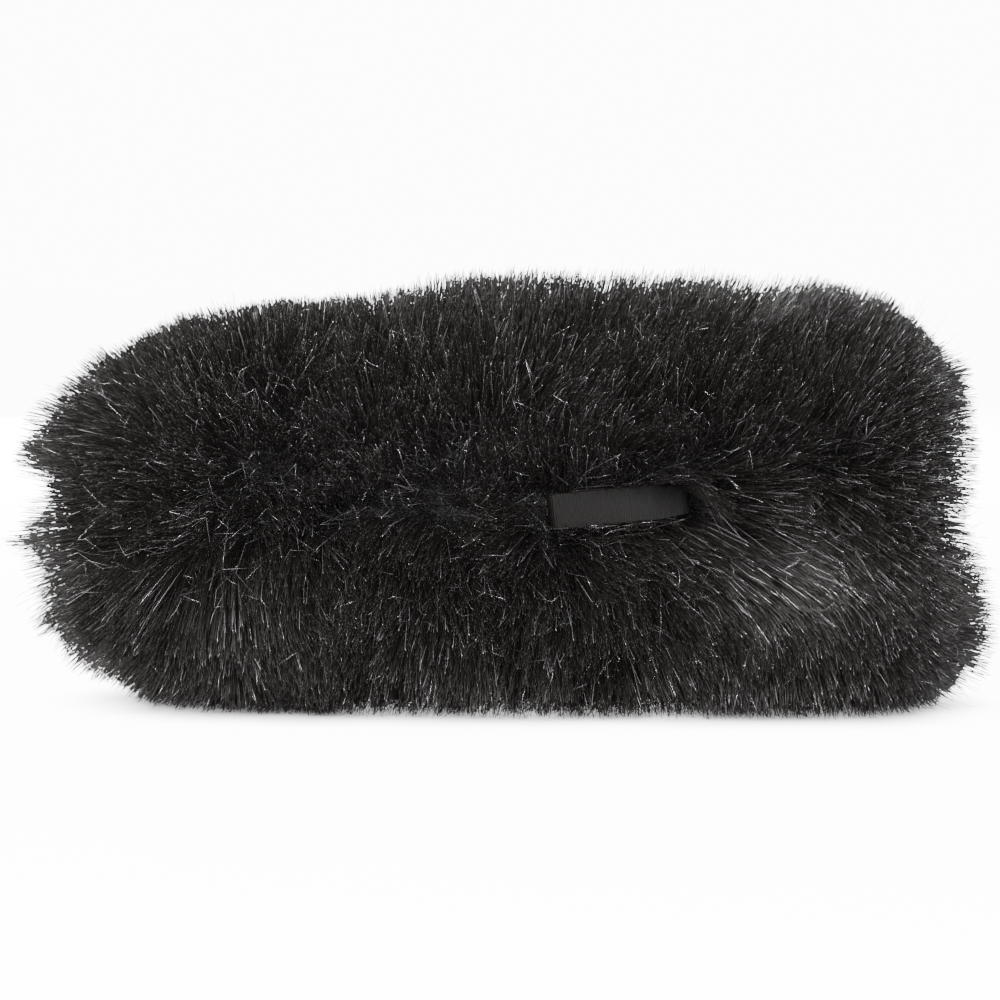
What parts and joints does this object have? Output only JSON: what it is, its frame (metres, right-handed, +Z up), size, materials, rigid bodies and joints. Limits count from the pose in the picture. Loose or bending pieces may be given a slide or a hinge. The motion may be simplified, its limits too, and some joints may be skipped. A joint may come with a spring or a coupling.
{
  "type": "furry microphone windscreen",
  "caption": "Slip-on windscreen for a shotgun microphone: a long-pile fur cover with a sewn side tag over a foam core with a slotted cage and a rubber boot.",
  "frame": {"origin": "centre of the microphone's bore at the rear face of the boot's collar", "axes": "+X along the bore, the way the microphone leaves; -X to the rounded nose; +Z up from the surface it lies on; the tag is on the -Y side"},
  "size_m": [0.2382, 0.1204, 0.1084],
  "materials": {
    "boot_rubber": "matt moulded rubber",
    "cage_plastic": "moulded nylon",
    "foam": "open-cell foam",
    "fur": "long glossy pile on a knitted backing",
    "binding": "woven binding",
    "thread": "polyester thread",
    "elastic": "braided elastic cord",
    "tag_ribbon": "woven satin ribbon",
    "tag_thread": "polyester thread"
  },
  "bodies": {
    "core": {"rubber_boot": "boot_rubber", "cage_tube": "cage_plastic", "cage_nose_cap": "cage_plastic", "end_pad": "foam", "foam_sleeve": "foam", "foam_nose": "foam"},
    "cover": {"upper_fur_panel": "fur", "lower_fur_panel": "fur", "rear_fur_ring": "fur", "seam_tape": "binding", "side_seam_stitches": "thread", "rear_seam_stitches": "thread", "hem_binding": "binding", "hem_elastic": "elastic", "hem_stitches": "thread", "side_tag": "tag_ribbon", "tag_stitches": "tag_thread"}
  },
  "joints": [
    {"name": "cover_slip_off", "type": "slide", "parent": "core", "child": "cover", "axis": [-1, 0, 0], "range_m": [0, 0.212], "deforming": ["hem_binding", "hem_elastic", "hem_stitches"]}
  ]
}
